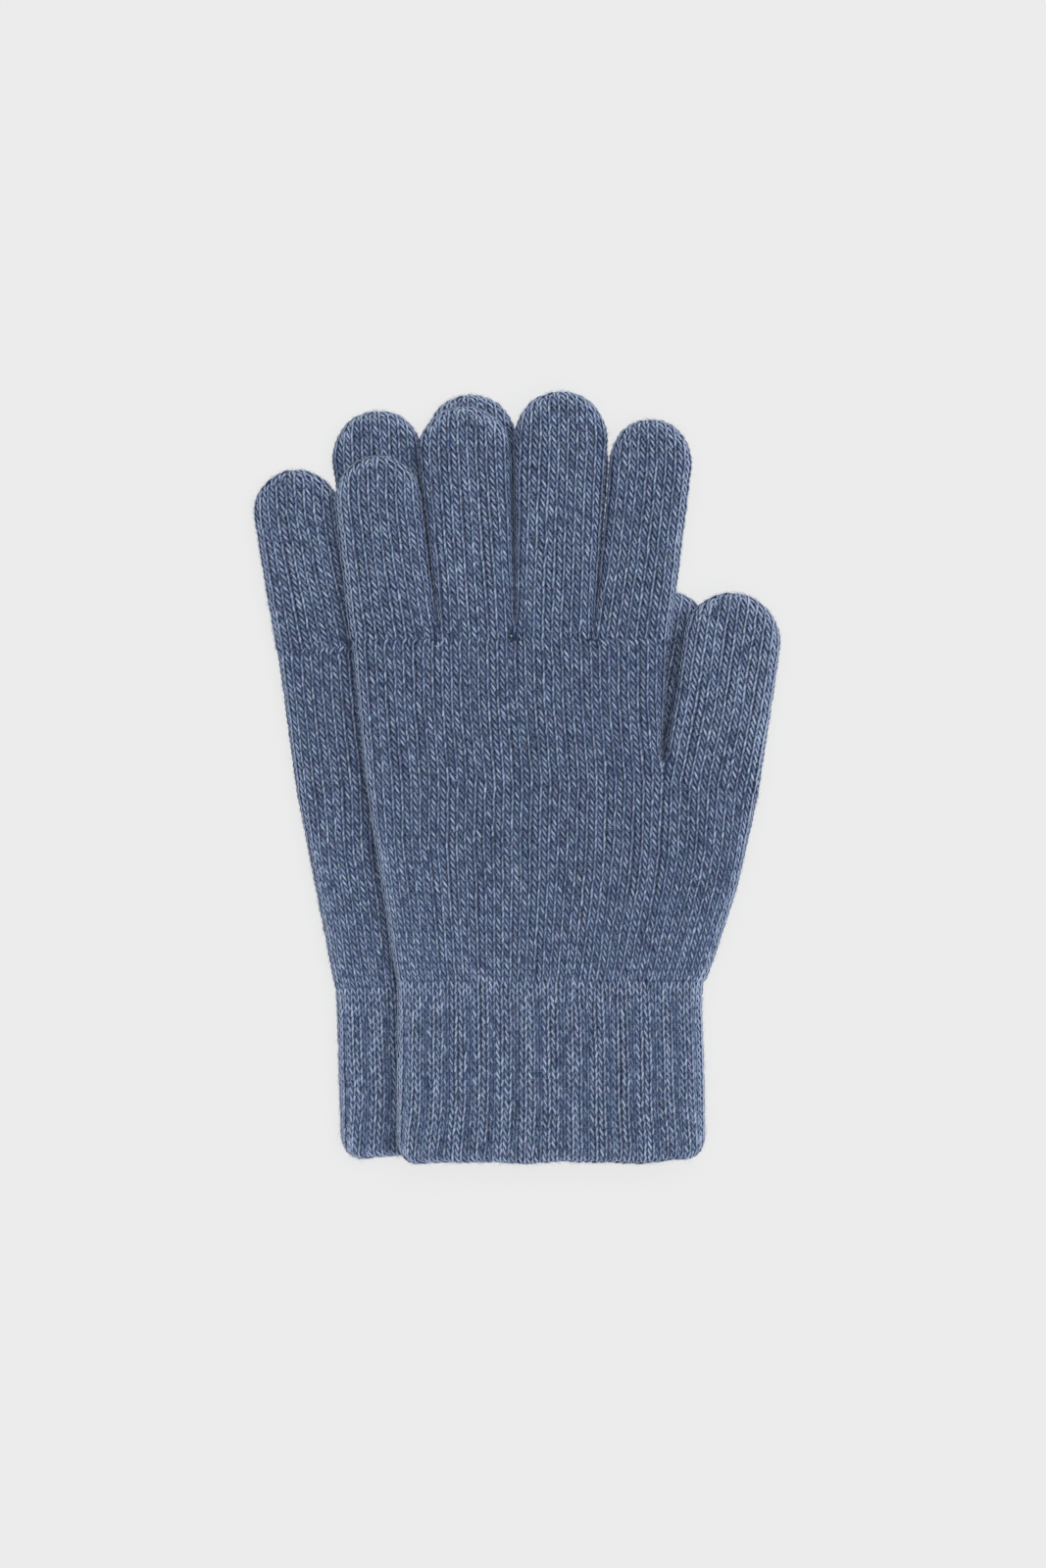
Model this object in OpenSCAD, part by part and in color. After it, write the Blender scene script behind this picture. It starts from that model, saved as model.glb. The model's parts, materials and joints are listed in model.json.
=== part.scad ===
// A pair of knitted gloves lying flat, one on top of the other, both thumbs to the right.
// Each glove is a set of flat knitted tubes: cuff, hand, four fingers and a thumb.
// A glove's own frame has x = 0 at the middle of the cuff and y = 0 where the cuff meets the hand.

/* [Knit] */
// Thickness of a glove lying flat, both layers and the air between them
glove_t = 8; // [7:0.5:10]
// Thickness of the knitted wall
wall = 1.8; // [1.2:0.1:2]
// Gap between pieces that move against each other
gap = 0.4; // [0.3:0.1:0.6]

/* [Hand] */
// From the cuff to the roots of the fingers
hand_len = 105; // [95:1:115]
// How far the little-finger edge stands out from the cuff's middle at the finger roots
knuckle_left = 61.5; // [58:0.5:64]
// The same edge half way down the hand
palm_left = 57.3; // [56:0.1:59]
// How far the thumb base bulges from the cuff's middle
thumb_base_right = 57.8; // [56:0.1:60]

/* [Fingers] */
// Widths at the root: little, ring, middle, index
root_w = [27.4, 22.4, 23.4, 23.4];
// Widths near the tip
tip_w = [26.6, 28.2, 28.8, 25.2];
// Lengths from the root line to the tip
finger_len = [55.4, 71.6, 75.2, 66.6];
// How far each tip of the upper glove leans towards the thumb
upper_lean = [-5.2, -4, 2.2, 6];
// The same for the lower glove
lower_lean = [-6, -5.6, -0.1, 5.6];

/* [Thumb] */
// Width of the thumb
thumb_w = 30; // [26:0.2:31]
// Length from its root line to its tip
thumb_len = 59.8; // [50:0.2:64]
// Angle that the thumb leans away from the fingers, on the upper glove and on the lower one
thumb_lean = [8.1, 11.3];
// Middle of the thumb's root line
thumb_root = [49, 59.5];

/* [Cuff] */
// Width of the cuff
cuff_w = 95; // [88:1:100]
// Length of the upper glove's cuff, and of the lower one's, which is drawn in a little more
cuff_len = [56, 52.6];
// Length of the turned edge at the mouth of the cuff
hem_len = 4.6; // [4:0.2:6]
// Elastic threads laid into the cuff
elastic_count = 6; // [3:1:8]
// Distance between elastic threads
elastic_pitch = 8; // [4:0.5:8]
// Thickness of an elastic thread
elastic_t = 0.7; // [0.4:0.1:0.9]

/* [Stack] */
// How far the lower glove is turned
turn = 2.1; // [0:0.1:3]
// How far the lower glove is slipped sideways and lengthways at the cuff's edge
slip = [-17.1, -0.9];
// Air between the two gloves
stack_gap = 0.3; // [0.3:0.1:0.6]

/* [Hidden] */

pair_origin = [10.6, -62.1];       // the upper glove's own origin, with the pair's box over [0, 0]
LITTLE = 0; RING = 1; MIDDLE = 2; INDEX = 3;
UPPER = 0; LOWER = 1;

rim = 3.5;                         // depth of the rounded edge, seen from above
rim_steps = 4;                     // facets in a quarter of that edge
corner_r = 10;                     // radius of the discs that the hand is drawn around
root_back = 4;                     // a finger's root disc stands this far behind its root line
far = 200;                         // size of the blocks that cut the tubes off
thread_room = 0.1;                 // air around an elastic thread in its groove
knit_blue = "#566383";
shade_blue = "#4b5876";
rubber_grey = "#c9c6bd";

function root_left(i) = i == 0 ? -knuckle_left : root_left(i - 1) + root_w[i - 1] + gap;
function root_x(i) = root_left(i) + root_w[i] / 2;
knuckle_right = root_left(INDEX) + root_w[INDEX];
function crotch_right(which) = thumb_root[0] - thumb_w / 2 * cos(thumb_lean[which]);
function lean(which) = which == UPPER ? upper_lean : lower_lean;

// Places a glove's own frame in the pair.
module upper_place() {
    translate([pair_origin[0], pair_origin[1], glove_t + stack_gap]) children();
}

module lower_place() {
    translate([pair_origin[0] + slip[0], pair_origin[1] + slip[1] - cuff_len[UPPER], 0])
        rotate([0, 0, turn]) translate([0, cuff_len[UPPER], 0]) children();
}

// A flat disc with a rounded edge, drawn in by inset on every side.
module pad(r, inset) {
    h = glove_t - 2 * inset;
    e = inset > 0 ? h / 2 : rim;
    arc = [for (k = [-rim_steps : rim_steps]) let (a = 90 * k / rim_steps)
           [r - inset - e + e * cos(a), h / 2 + h / 2 * sin(a)]];
    translate([0, 0, inset])
        rotate_extrude($fn = 32) polygon(concat([[0, 0]], arc, [[0, h]]));
}

// A block that covers everything with y above 0, or below it.
module above() { translate([-far / 2, 0, -1]) cube([far, far, glove_t + 2]); }
module below() { translate([-far / 2, -far, -1]) cube([far, far, glove_t + 2]); }

// A straight flat tube's section, w wide and h high, drawn along y from 0 to len.
module oval_bar(w, h, len) {
    translate([0, len, glove_t / 2]) rotate([90, 0, 0]) linear_extrude(len) {
        square([w - h, h], center = true);
        for (s = [-1, 1]) translate([s * (w - h) / 2, 0]) circle(d = h, $fn = 48);
    }
}

// One finger: a tapering flat tube, closed at the tip and open at the root.
module finger_form(i, which, inset) {
    hull() {
        translate([root_x(i), hand_len - root_back, 0]) pad(root_w[i] / 2, inset);
        translate([root_x(i) + lean(which)[i], hand_len + finger_len[i] - tip_w[i] / 2, 0])
            pad(tip_w[i] / 2, inset);
    }
}

module finger(i, which) {
    color(knit_blue) difference() {
        finger_form(i, which, 0);
        finger_form(i, which, wall);
        translate([0, hand_len + gap / 2, 0]) below();
    }
}

// The thumb, along its own axis.
module thumb_place(which) {
    translate([thumb_root[0], thumb_root[1], 0]) rotate([0, 0, -thumb_lean[which]]) children();
}

module thumb_form(inset) {
    hull() {
        translate([0, -root_back, 0]) pad(thumb_w / 2, inset);
        translate([0, thumb_len - thumb_w / 2, 0]) pad(thumb_w / 2, inset);
    }
}

module thumb(which) {
    color(knit_blue) thumb_place(which) difference() {
        thumb_form(0);
        thumb_form(wall);
        translate([0, gap / 2, 0]) below();
    }
}

// The hand: the palm under the four fingers, and the thumb's base beside it.
module palm_form(which, inset) {
    hull() {
        translate([corner_r - knuckle_left, hand_len, 0]) pad(corner_r, inset);
        translate([knuckle_right - corner_r, hand_len, 0]) pad(corner_r, inset);
        translate([corner_r - palm_left, 0.6 * hand_len, 0]) pad(corner_r, inset);
        translate([corner_r - cuff_w / 2, 0, 0]) pad(corner_r, inset);
        translate([crotch_right(which) - 3 - corner_r, 0, 0]) pad(corner_r, inset);
    }
}

module thumb_base_form(which, inset) {
    difference() {
        hull() {
            thumb_place(which) translate([corner_r - thumb_w / 2, 0, 0]) pad(corner_r, inset);
            thumb_place(which) translate([thumb_w / 2 - corner_r, 0, 0]) pad(corner_r, inset);
            translate([thumb_base_right - corner_r, 0.3 * hand_len, 0]) pad(corner_r, inset);
            translate([cuff_w / 2 - corner_r, 0, 0]) pad(corner_r, inset);
            pad(corner_r, inset);
        }
        thumb_place(which) translate([0, -gap / 2, 0]) above();
    }
}

module hand(which) {
    color(knit_blue) difference() {
        union() {
            palm_form(which, 0);
            thumb_base_form(which, 0);
        }
        difference() {
            palm_form(which, wall);
            translate([0, hand_len - wall - gap / 2, 0]) above();
        }
        thumb_base_form(which, wall);
        for (i = [LITTLE : INDEX])
            translate([root_x(i), hand_len - 2 * wall, 0])
                oval_bar(root_w[i] - 2 * wall, glove_t - 2 * wall, 2 * wall);
        translate([0, hand_len - gap / 2, 0]) above();
        translate([0, gap / 2, 0]) below();
    }
}

// The cuff: a straight tube, with a groove inside it for each elastic thread.
function elastic_y(k, which) = -(cuff_len[which] - hem_len) / 2
    + (k - (elastic_count - 1) / 2) * elastic_pitch;

module elastic_ring(extra) {
    inner_w = cuff_w - 2 * wall;
    inner_h = glove_t - 2 * wall;
    translate([0, -elastic_t / 2 - extra, 0]) difference() {
        oval_bar(inner_w + 2 * (elastic_t + thread_room + extra),
                 inner_h + 2 * (elastic_t + thread_room + extra), elastic_t + 2 * extra);
        translate([0, -1, 0])
            oval_bar(inner_w + 2 * (thread_room - extra),
                     inner_h + 2 * (thread_room - extra), elastic_t + 2 * extra + 2);
    }
}

module cuff(which) {
    len = cuff_len[which] - hem_len - gap / 2;
    color(knit_blue) translate([0, -len - gap / 2, 0]) difference() {
        oval_bar(cuff_w, glove_t, len);
        translate([0, -1, 0]) oval_bar(cuff_w - 2 * wall, glove_t - 2 * wall, len + 2);
        for (k = [0 : elastic_count - 1])
            translate([0, elastic_y(k, which) + len + gap / 2, 0]) elastic_ring(thread_room);
    }
}

module cuff_elastic(which) {
    color(rubber_grey)
        for (k = [0 : elastic_count - 1])
            translate([0, elastic_y(k, which), 0]) elastic_ring(0);
}

// The turned edge at the cuff's mouth, with rounded corners.
module cuff_hem(which) {
    color(shade_blue) translate([0, -cuff_len[which], 0]) difference() {
        intersection() {
            oval_bar(cuff_w, glove_t, hem_len);
            linear_extrude(glove_t) {
                translate([hem_len - cuff_w / 2, 0]) square([cuff_w - 2 * hem_len, hem_len]);
                for (s = [-1, 1])
                    translate([s * (cuff_w / 2 - hem_len), hem_len]) circle(r = hem_len, $fn = 64);
            }
        }
        translate([0, -1, 0]) oval_bar(cuff_w - 2 * wall, glove_t - 2 * wall, hem_len + 2);
    }
}

module lower_hand() { lower_place() hand(LOWER); }
module lower_thumb() { lower_place() thumb(LOWER); }
module lower_index_finger() { lower_place() finger(INDEX, LOWER); }
module lower_middle_finger() { lower_place() finger(MIDDLE, LOWER); }
module lower_ring_finger() { lower_place() finger(RING, LOWER); }
module lower_little_finger() { lower_place() finger(LITTLE, LOWER); }
module lower_cuff() { lower_place() cuff(LOWER); }
module lower_cuff_hem() { lower_place() cuff_hem(LOWER); }
module lower_cuff_elastic() { lower_place() cuff_elastic(LOWER); }
module upper_hand() { upper_place() hand(UPPER); }
module upper_thumb() { upper_place() thumb(UPPER); }
module upper_index_finger() { upper_place() finger(INDEX, UPPER); }
module upper_middle_finger() { upper_place() finger(MIDDLE, UPPER); }
module upper_ring_finger() { upper_place() finger(RING, UPPER); }
module upper_little_finger() { upper_place() finger(LITTLE, UPPER); }
module upper_cuff() { upper_place() cuff(UPPER); }
module upper_cuff_hem() { upper_place() cuff_hem(UPPER); }
module upper_cuff_elastic() { upper_place() cuff_elastic(UPPER); }

lower_hand();
lower_thumb();
lower_index_finger();
lower_middle_finger();
lower_ring_finger();
lower_little_finger();
lower_cuff();
lower_cuff_hem();
lower_cuff_elastic();
upper_hand();
upper_thumb();
upper_index_finger();
upper_middle_finger();
upper_ring_finger();
upper_little_finger();
upper_cuff();
upper_cuff_hem();
upper_cuff_elastic();
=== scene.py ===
"""The looks of a pair of knitted gloves. Every stitch is a loop of yarn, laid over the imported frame."""

import json
import math

import bpy
import numpy as np
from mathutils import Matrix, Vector


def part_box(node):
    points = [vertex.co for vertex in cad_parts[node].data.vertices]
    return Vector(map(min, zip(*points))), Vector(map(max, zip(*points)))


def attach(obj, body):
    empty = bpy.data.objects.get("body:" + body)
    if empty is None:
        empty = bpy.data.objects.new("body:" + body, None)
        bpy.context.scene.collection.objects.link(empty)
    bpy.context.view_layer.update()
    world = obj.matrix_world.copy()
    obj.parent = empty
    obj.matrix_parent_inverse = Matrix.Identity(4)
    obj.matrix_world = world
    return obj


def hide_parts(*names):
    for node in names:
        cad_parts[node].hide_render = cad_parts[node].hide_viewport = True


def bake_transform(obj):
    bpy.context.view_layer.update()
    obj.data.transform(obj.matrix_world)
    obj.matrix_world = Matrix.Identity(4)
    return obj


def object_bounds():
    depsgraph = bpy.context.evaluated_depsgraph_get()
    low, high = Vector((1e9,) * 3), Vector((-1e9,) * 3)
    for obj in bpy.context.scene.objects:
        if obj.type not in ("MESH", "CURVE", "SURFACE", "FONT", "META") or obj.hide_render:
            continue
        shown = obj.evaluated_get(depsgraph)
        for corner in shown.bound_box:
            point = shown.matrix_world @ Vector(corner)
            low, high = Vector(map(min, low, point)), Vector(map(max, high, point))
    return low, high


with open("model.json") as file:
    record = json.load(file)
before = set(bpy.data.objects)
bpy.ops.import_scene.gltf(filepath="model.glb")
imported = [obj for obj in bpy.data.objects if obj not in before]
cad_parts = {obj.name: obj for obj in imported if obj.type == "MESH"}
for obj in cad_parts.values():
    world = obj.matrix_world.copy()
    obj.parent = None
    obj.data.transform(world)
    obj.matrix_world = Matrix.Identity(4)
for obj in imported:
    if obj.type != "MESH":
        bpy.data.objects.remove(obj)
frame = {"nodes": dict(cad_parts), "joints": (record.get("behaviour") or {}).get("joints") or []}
cad_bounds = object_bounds()

# ------------ sizes, in millimetres
MM = 0.001
WALE = 2.85          # width of a stitch on the flat faces
COURSE = 1.95        # height of a row
YARN_R = 0.56        # radius of the yarn
DEPTH = 0.45         # how far a loop's legs stand in front of its middle
SIDES = 5            # faces round the yarn
STEPS = 12           # lengths of yarn in a stitch
PLUMP = 0.3          # how far the knit stands out past the CAD tubes of fingers and thumb
WEB = 7.0            # length over which the valley between two fingers opens
CROTCH = 2.2         # how much further up the valley beside the thumb starts
RIM = 4.2            # depth of a tube's rounded edge, seen from above
TURN_BACK = 4.0      # how far the hem's knit goes back up inside the cuff
RIB = (2.8, 2.8, 1.9)        # widths of the three needles of a rib
RIB_DEPTH = 0.62     # how far the third needle lies behind the others
RIB_SHADE = 0.38     # painted shade: how much darker the sunk wales are coloured
FOLD_ZONE = 17.0     # length of knit at the top of the cuff that, with 6 mm more, is knitted as a piece of its own
HAIRS_PER_CM2 = 36   # loose fibres that stand up
NAP_PER_CM2 = 55     # loose fibres that lie along the knit
TIP_ZONE = 9.0       # length of a fingertip over which TIP_OUT grows
# how far the knit stands out at a fingertip, beyond PLUMP, where it isn't USUAL_TIP_OUT
USUAL_TIP_OUT = 0.7
TIP_OUT = {"lower_little_finger": 0.0, "lower_ring_finger": 1.0, "lower_middle_finger": 1.3,
           "upper_ring_finger": -0.3, "upper_thumb": 0.2, "lower_thumb": 0.5}

# stitches across one face of each tube
FINGERS = {"little_finger": 11, "ring_finger": 11, "middle_finger": 11, "index_finger": 10}
THUMB_WALES = 12
HEEL_WALES = 44      # the hand below the thumb, and the cuff
PALM_WALES = 35
FULL = 1.06          # the most that the heel's and the cuff's faces are filled with stitches

rng = np.random.default_rng(11)


def joint(name):
    """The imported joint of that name."""
    return next(j for j in frame["joints"] if j["name"] == name)


# ------------ materials
def new_material(name):
    """A material with its node tree and shader."""
    material = bpy.data.materials.new(name)
    material.use_nodes = True
    tree = material.node_tree
    shader = tree.nodes["Principled BSDF"]
    return material, tree, shader


def fill(tree, made, inputs):
    """Gives a node's sockets their values, or links them to other sockets."""
    for key, value in inputs.items():
        if isinstance(value, bpy.types.NodeSocket):
            tree.links.new(value, made.inputs[key])
        else:
            made.inputs[key].default_value = value


def node(tree, kind, inputs=None, **settings):
    """A new node, with its settings and its sockets' values or links."""
    made = tree.nodes.new("ShaderNode" + kind)
    for key, value in settings.items():
        setattr(made, key, value)
    fill(tree, made, inputs or {})
    return made


def maths(tree, operation, a, b=0.0):
    return node(tree, "Math", {0: a, 1: b}, operation=operation).outputs[0]


PLY_PITCH = 3.4       # length of yarn in which its plies turn once


def wool(name, dark, middle, light, lift=0.0):
    """Heather wool yarn. The UV map "yarn" holds millimetres along the yarn and turns around it, from its inner
    side. The map "loop" holds how far a loop stands forward there and how much the knit turns over an edge; the
    colour is made lighter from both as painted highlight, and darker where a loop lies back as painted shade."""
    material, tree, shader = new_material(name)

    def times(a, b):
        return maths(tree, "MULTIPLY", a, b)

    def plus(a, b):
        return maths(tree, "ADD", a, b)

    def spread(value, share):
        return times(plus(value, -0.5), share)

    def noise(at, scale, detail, roughness):
        inputs = {"Vector": at, "Scale": scale, "Detail": detail, "Roughness": roughness}
        return node(tree, "TexNoise", inputs).outputs["Fac"]

    uv = node(tree, "UVMap", uv_map="yarn").outputs[0]
    split = node(tree, "SeparateXYZ", {0: uv})
    along, around = split.outputs[0], split.outputs[1]
    turn = plus(around, maths(tree, "DIVIDE", along, PLY_PITCH))
    uv = node(tree, "UVMap", uv_map="loop").outputs[0]
    loop = node(tree, "SeparateXYZ", {0: uv})
    rise, edge = loop.outputs[0], loop.outputs[1]
    # painted highlight: the yarn's outer side is coloured lighter, the more where a loop stands forward
    crest_highlight = maths(tree, "COSINE", spread(around, 2 * math.pi))
    crest_highlight = maths(tree, "POWER", maths(tree, "MAXIMUM", crest_highlight, 0.0), 1.6)
    crest_highlight = times(crest_highlight, plus(times(maths(tree, "POWER", rise, 1.3), 0.5), 0.5))

    # fibres, drawn out along the twist of the yarn
    fibre_at = node(tree, "CombineXYZ", {0: times(along, 0.55), 1: times(turn, 7.0)}).outputs[0]
    fibres = noise(fibre_at, 1.6, 4.0, 0.68)
    # two plies, wound round each other
    wave = maths(tree, "SINE", times(turn, 2 * math.pi))
    # short lengths of lighter and darker roving, and long slow changes between rows
    slub_at = node(tree, "CombineXYZ", {0: along, 1: 0.0}).outputs[0]
    slubs = noise(slub_at, 0.21, 1.0, 0.6)
    lengths = noise(slub_at, 0.035, 1.0, 0.5)

    tone = spread(fibres, 0.8)
    # painted highlights: the crest and edge terms lighten the yarn's outer side and its turned-over rims
    for part in (times(wave, 0.06), spread(slubs, 1.2), spread(lengths, 0.6), times(crest_highlight, 1.35),
                 times(edge, 0.42), lift - 0.585):
        tone = plus(tone, part)
    ramp = node(tree, "ValToRGB", {0: tone})
    for stop, place, color in zip(ramp.color_ramp.elements, (0.08, 0.95), (dark, light)):
        stop.position, stop.color = place, (*color, 1)
    ramp.color_ramp.elements.new(0.5).color = (*middle, 1)
    # a few of the fibres are greener or more violet than the rest
    hue_at = node(tree, "CombineXYZ", {0: times(along, 0.09), 1: times(turn, 0.8), 2: 7.0}).outputs[0]
    hues = node(tree, "TexNoise", {"Vector": hue_at, "Scale": 1.0, "Detail": 2.0}).outputs["Color"]
    tint = node(tree, "Mix", {"Factor": 0.2}, data_type="RGBA", blend_type="OVERLAY")
    tree.links.new(ramp.outputs[0], tint.inputs["A"])
    tree.links.new(hues, tint.inputs["B"])
    relief = plus(times(fibres, 0.7), times(maths(tree, "ABSOLUTE", wave), 0.5))
    bump = node(tree, "Bump", {"Height": relief, "Strength": 0.75, "Distance": 0.00022})
    rough = node(tree, "MapRange", {"Value": fibres, "To Min": 0.8, "To Max": 1.0})
    fill(tree, shader, {"Base Color": tint.outputs["Result"], "Normal": bump.outputs[0],
                        "Roughness": rough.outputs[0], "Specular IOR Level": 0.25, "Sheen Weight": 0.35,
                        "Sheen Roughness": 0.5, "Sheen Tint": (0.75, 0.82, 1.0, 1)})
    return material


def rubber(name):
    """Bare elastic thread, with the fine ribs of a cut rubber core."""
    material, tree, shader = new_material(name)
    uv = node(tree, "UVMap", uv_map="yarn").outputs[0]
    split = node(tree, "SeparateXYZ", {0: uv})
    at = node(tree, "CombineXYZ", {0: maths(tree, "MULTIPLY", split.outputs[0], 0.4),
                                             1: maths(tree, "MULTIPLY", split.outputs[1], 9.0)}).outputs[0]
    grain = node(tree, "TexNoise", {"Vector": at, "Scale": 2.0, "Detail": 3.0}).outputs["Fac"]
    ramp = node(tree, "ValToRGB", {0: grain})
    ramp.color_ramp.elements[0].color = (0.42, 0.40, 0.36, 1)
    ramp.color_ramp.elements[1].color = (0.68, 0.66, 0.60, 1)
    bump = node(tree, "Bump", {"Height": grain, "Strength": 0.4, "Distance": 0.0001})
    fill(tree, shader, {"Base Color": ramp.outputs[0], "Normal": bump.outputs[0], "Roughness": 0.55})
    return material


DARKEST = (0.015, 0.027, 0.077)
YARN = wool("heather_wool", DARKEST, (0.091, 0.138, 0.256), (0.43, 0.52, 0.70))
CUFF_YARN = wool("heather_wool_rib", DARKEST, (0.093, 0.141, 0.259), (0.44, 0.53, 0.71), 0.1)
# painted shade: a darker copy of the wool, for the shade in the gaps between the loops
PAINTED_SHADE_GROUND = wool("wool_ground_painted_shade", (0.015, 0.024, 0.052), (0.045, 0.063, 0.117), (0.11, 0.145, 0.225))
ELASTIC = rubber("elastic_thread")


# ------------ the gloves' own frames and outlines
class Glove:
    """A glove's own frame, in millimetres: x across the cuff, y towards the fingertips, z up from its middle."""

    def __init__(self, prefix):
        self.prefix = prefix
        axis = np.array(joint(f"{prefix}_middle_finger_bend")["axis"][:2], float)
        self.ex = axis / np.linalg.norm(axis) * np.sign(axis[0])
        self.ey = np.array([-self.ex[1], self.ex[0]])
        self.origin = np.array(joint(f"{prefix}_cuff_fold")["pos_m"][:2], float) / MM
        low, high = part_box(f"{prefix}_hand")
        self.z = (low.z + high.z) / 2 / MM
        self.half = (high.z - low.z) / 2 / MM

    def local(self, points):
        """Row-frame points in metres, as the glove's own x and y."""
        flat = np.asarray(points, float)[:, :2] / MM - self.origin
        return np.stack([flat @ self.ex, flat @ self.ey], 1)

    def world(self, points):
        """Glove points in millimetres, as row-frame metres."""
        points = np.asarray(points, float)
        flat = self.origin + points[..., :1] * self.ex + points[..., 1:2] * self.ey
        return np.concatenate([flat, points[..., 2:] + self.z], -1) * MM

    def corners(self, part):
        """The x and y of a CAD node's vertices."""
        mesh = frame["nodes"][f"{self.prefix}_{part}"].data
        co = np.empty(len(mesh.vertices) * 3, np.float32)
        mesh.vertices.foreach_get("co", co)
        return self.local(co.reshape(-1, 3))

    def outline(self, part):
        """The convex outline of a CAD node, seen from above."""
        return convex(self.corners(part))


def convex(points):
    """The convex hull of plane points, counter-clockwise."""
    points = sorted({(round(float(x), 3), round(float(y), 3)) for x, y in points})

    def half(run):
        kept = []
        for p in run:
            while len(kept) > 1 and ((kept[-1][0] - kept[-2][0]) * (p[1] - kept[-2][1])
                                     - (kept[-1][1] - kept[-2][1]) * (p[0] - kept[-2][0])) <= 1e-6:
                kept.pop()
            kept.append(p)
        return kept[:-1]

    return np.array(half(points) + half(points[::-1]))


def unit(vectors):
    """The vectors, each made one long."""
    return vectors / np.linalg.norm(vectors, axis=1, keepdims=True)


def grown(outline, by, webs, tip_out):
    """The outline, moved outwards by so many millimetres. Its lowest corners only move sideways, and only where
    webs says that another tube stands beside them."""
    along = unit(unit(np.roll(outline, -1, 0) - outline) + unit(outline - np.roll(outline, 1, 0)))
    out = np.stack([along[:, 1], -along[:, 0]], 1)
    by = by + tip_out * smooth((outline[:, 1:] - outline[:, 1].max() + TIP_ZONE) / TIP_ZONE)
    low = outline[:, 1] < outline[:, 1].min() + 0.1
    side = np.sign(outline[low, 0] - outline[:, 0].mean())
    out[low] = np.stack([side * np.where(side < 0, webs[0], webs[1]), np.zeros(low.sum())], 1)
    return outline + by * out


def sides_at(outline, y):
    """The outline's left and right edges at each y. Past its lowest point, they run on straight."""
    y = np.atleast_1d(np.asarray(y, float))
    low, high = outline[:, 1].min() + 0.05, outline[:, 1].max() - 0.02
    a, b = outline, np.roll(outline, -1, 0)
    rising = np.abs(b[:, 1] - a[:, 1]) > 1e-6
    a, b = a[rising], b[rising]

    def cut(at):
        t = (at[:, None] - a[None, :, 1]) / (b[:, 1] - a[:, 1])[None]
        x = a[None, :, 0] + t * (b[:, 0] - a[:, 0])[None]
        inside = (t >= -1e-9) & (t <= 1 + 1e-9)
        return np.where(inside, x, np.inf).min(1), np.where(inside, x, -np.inf).max(1)

    left, right = cut(np.clip(y, low, high))
    span = 3.0
    base, ahead = cut(np.array([low])), cut(np.array([low + span]))
    under = np.minimum(y - low, 0.0)
    left += under * (ahead[0] - base[0]) / span
    right += under * (ahead[1] - base[1]) / span
    return left, right


def distance(x, y, walls):
    """The distance from points to the nearest of some wall segments."""
    p = np.stack([x.ravel(), y.ravel()], 1)
    best = np.full(len(p), np.inf)
    for a, b in walls:
        d = b - a
        t = np.clip(((p - a) @ d) / max(d @ d, 1e-12), 0, 1)
        best = np.minimum(best, np.linalg.norm(p - a - t[:, None] * d, axis=1))
    return best.reshape(x.shape)


def smooth(t):
    """A soft step from 0 to 1."""
    t = np.clip(t, 0, 1)
    return t * t * (3 - 2 * t)


# ------------ a tube's surface
HALF_POINTS = 160     # points round half of a section, evenly spaced
CROSS_POINTS = 121    # points of the curve that they are taken from


class Shell:
    """A flat tube's outer surface, sampled at levels v along it and at p round it: p runs from 0 to 1 across the
    front and from 1 to 2 across the back."""

    def __init__(self, levels, section):
        self.v = np.asarray(levels, float)
        grid, girth = [], []
        for v in self.v:
            front, back = section(v)
            halves = []
            for half in (front, back):
                step = np.linalg.norm(np.diff(half, axis=0), axis=1)
                run = np.concatenate([[0], np.cumsum(step)])
                at = np.linspace(0, run[-1], HALF_POINTS + 1)[:-1]
                halves.append(np.stack([np.interp(at, run, half[:, k]) for k in range(3)], 1))
                if half is front:
                    girth.append(run[-1])
            grid.append(np.concatenate(halves))
        self.points = np.array(grid)
        self.girth = np.array(girth)
        across = np.roll(self.points, -1, 1) - np.roll(self.points, 1, 1)
        along = np.gradient(self.points, axis=0)
        normal = np.cross(across, along)
        self.normals = normal / np.maximum(np.linalg.norm(normal, axis=2, keepdims=True), 1e-9)

    def sample(self, v, p):
        """Points and outward normals at (v, p)."""
        row = np.interp(v, self.v, np.arange(len(self.v)))
        i = np.clip(row.astype(int), 0, len(self.v) - 2)
        fi = (row - i)[:, None]
        column = (np.asarray(p) % 2.0) * HALF_POINTS
        j = column.astype(int)
        fj = (column - j)[:, None]
        j0, j1 = j % (2 * HALF_POINTS), (j + 1) % (2 * HALF_POINTS)
        found = []
        for data in (self.points, self.normals):
            low = data[i, j0] * (1 - fj) + data[i, j1] * fj
            high = data[i + 1, j0] * (1 - fj) + data[i + 1, j1] * fj
            found.append(low * (1 - fi) + high * fi)
        found[1] /= np.maximum(np.linalg.norm(found[1], axis=1, keepdims=True), 1e-9)
        return found


def cross_curve(left, right, height_at, y_of=None, y=0.0):
    """The front and back of a section from left to right, as (x, y, z) polylines that go round the tube."""
    theta = np.linspace(-math.pi / 2, math.pi / 2, CROSS_POINTS)
    x = (left + right) / 2 + (right - left) / 2 * np.sin(theta)
    yy = np.full_like(x, y) if y_of is None else y_of(x)
    z = height_at(x, yy)
    z[0] = z[-1] = 0.0
    front = np.stack([x, yy, z], 1)
    back = np.stack([x, yy, -z], 1)[::-1]
    return front, back


def rounded(d, half):
    """Half the tube's thickness at distance d from its edge."""
    return half * np.sqrt(np.clip(1 - (1 - np.minimum(d / RIM, 1)) ** 2, 0, 1))


# ------------ yarn
HAIR_LIGHT = 0.8      # how much painted highlight a loose fibre gets, in both values of the UV map "loop"


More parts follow.
